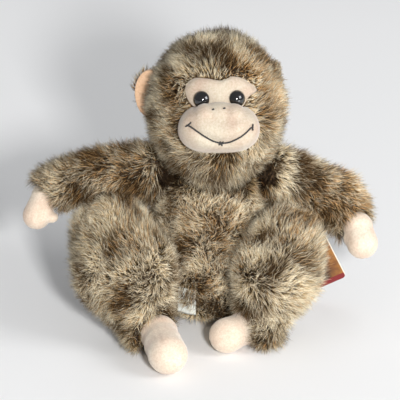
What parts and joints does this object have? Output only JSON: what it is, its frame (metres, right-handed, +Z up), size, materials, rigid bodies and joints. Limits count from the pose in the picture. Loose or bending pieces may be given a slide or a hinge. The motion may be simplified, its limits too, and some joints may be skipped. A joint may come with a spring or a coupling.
{
  "type": "stuffed monkey",
  "caption": "Sitting plush monkey with long frosted brown fur, a pale short-pile face, hands and feet, safety eyes, a stitched smile, sewn limbs that flex and a card hang tag.",
  "frame": {"origin": "middle of the flat seat, on the surface that the toy sits on", "axes": "+Z up, -Y is the way the face looks, +X towards the monkey's own left"},
  "size_m": [0.2201, 0.1432, 0.1842],
  "materials": {
    "fur": "matte",
    "stuffing": "matte",
    "lining": "matte",
    "pellets": "satin",
    "label": "satin",
    "clear_plastic": "gloss",
    "face_velour": "matte",
    "ear_velour": "matte",
    "limb_velour": "matte",
    "thread": "satin",
    "eye": "gloss",
    "washer": "satin",
    "tag_card": "satin"
  },
  "bodies": {
    "torso": {"torso_fur_shell": "fur", "torso_stuffing": "stuffing", "bean_pouch": "lining", "pellet_fill": "pellets", "care_label": "label", "tag_fastener": "clear_plastic"},
    "neck": {"neck_fur_shell": "fur", "neck_stuffing": "stuffing"},
    "head": {"head_fur_shell": "fur", "head_stuffing": "stuffing", "brow_panel": "face_velour", "muzzle_shell": "face_velour", "muzzle_stuffing": "stuffing", "mouth_thread": "thread", "nostril_stitches": "thread", "left_eye": "eye", "left_eye_washer": "washer", "left_ear_front": "ear_velour", "left_ear_back": "fur", "right_eye": "eye", "right_eye_washer": "washer", "right_ear_front": "ear_velour", "right_ear_back": "fur"},
    "left_arm": {"left_arm_fur_shell": "fur", "left_arm_stuffing": "stuffing"},
    "left_hand": {"left_hand_shell": "limb_velour", "left_hand_stuffing": "stuffing"},
    "left_leg": {"left_leg_fur_shell": "fur", "left_leg_stuffing": "stuffing"},
    "left_foot": {"left_foot_shell": "limb_velour", "left_foot_stuffing": "stuffing"},
    "right_arm": {"right_arm_fur_shell": "fur", "right_arm_stuffing": "stuffing"},
    "right_hand": {"right_hand_shell": "limb_velour", "right_hand_stuffing": "stuffing"},
    "right_leg": {"right_leg_fur_shell": "fur", "right_leg_stuffing": "stuffing"},
    "right_foot": {"right_foot_shell": "limb_velour", "right_foot_stuffing": "stuffing"},
    "hang_tag": {"hang_tag": "tag_card"}
  },
  "joints": [
    {"name": "neck_turn", "type": "hinge", "parent": "torso", "child": "neck", "pos_m": [0.004, 0, 0.1], "axis": [0, 0, 1], "range_deg": [-20, 12], "stiffness_Nm_per_rad": 0.06},
    {"name": "head_nod", "type": "hinge", "parent": "neck", "child": "head", "pos_m": [0.004, 0, 0.1], "axis": [1, 0, 0], "range_deg": [-10, 7], "stiffness_Nm_per_rad": 0.25},
    {"name": "right_shoulder", "type": "hinge", "parent": "torso", "child": "right_arm", "pos_m": [-0.036, 0, 0.094], "axis": [0, 1, 0], "range_deg": [0, 25], "stiffness_Nm_per_rad": 0.04},
    {"name": "left_shoulder", "type": "hinge", "parent": "torso", "child": "left_arm", "pos_m": [0.043, 0, 0.092], "axis": [0, -1, 0], "range_deg": [-8, 10], "stiffness_Nm_per_rad": 0.04},
    {"name": "right_wrist", "type": "hinge", "parent": "right_arm", "child": "right_hand", "pos_m": [-0.101, -0.012, 0.082], "axis": [0, 1, 0], "range_deg": [-10, 10], "stiffness_Nm_per_rad": 0.006},
    {"name": "left_wrist", "type": "hinge", "parent": "left_arm", "child": "left_hand", "pos_m": [0.093, -0.019, 0.064], "axis": [0, -1, 0], "range_deg": [-10, 10], "stiffness_Nm_per_rad": 0.006},
    {"name": "right_hip", "type": "hinge", "parent": "torso", "child": "right_leg", "pos_m": [-0.035, -0.014, 0.032], "axis": [0, 0, -1], "range_deg": [-4, 4], "stiffness_Nm_per_rad": 0.06},
    {"name": "left_hip", "type": "hinge", "parent": "torso", "child": "left_leg", "pos_m": [0.04, -0.016, 0.032], "axis": [0, 0, 1], "range_deg": [0, 10], "stiffness_Nm_per_rad": 0.06},
    {"name": "right_ankle", "type": "hinge", "parent": "right_leg", "child": "right_foot", "pos_m": [-0.03, -0.065, 0.013], "axis": [-1, 0, 0], "range_deg": [0, 10], "stiffness_Nm_per_rad": 0.01},
    {"name": "left_ankle", "type": "hinge", "parent": "left_leg", "child": "left_foot", "pos_m": [0.021, -0.055, 0.0115], "axis": [-1, 0, 0], "range_deg": [0, 10], "stiffness_Nm_per_rad": 0.01},
    {"name": "tag_swing", "type": "hinge", "parent": "torso", "child": "hang_tag", "pos_m": [0.06076, 0.01, 0.04292], "axis": [0, 1, 0], "range_deg": [-8, 30]}
  ]
}
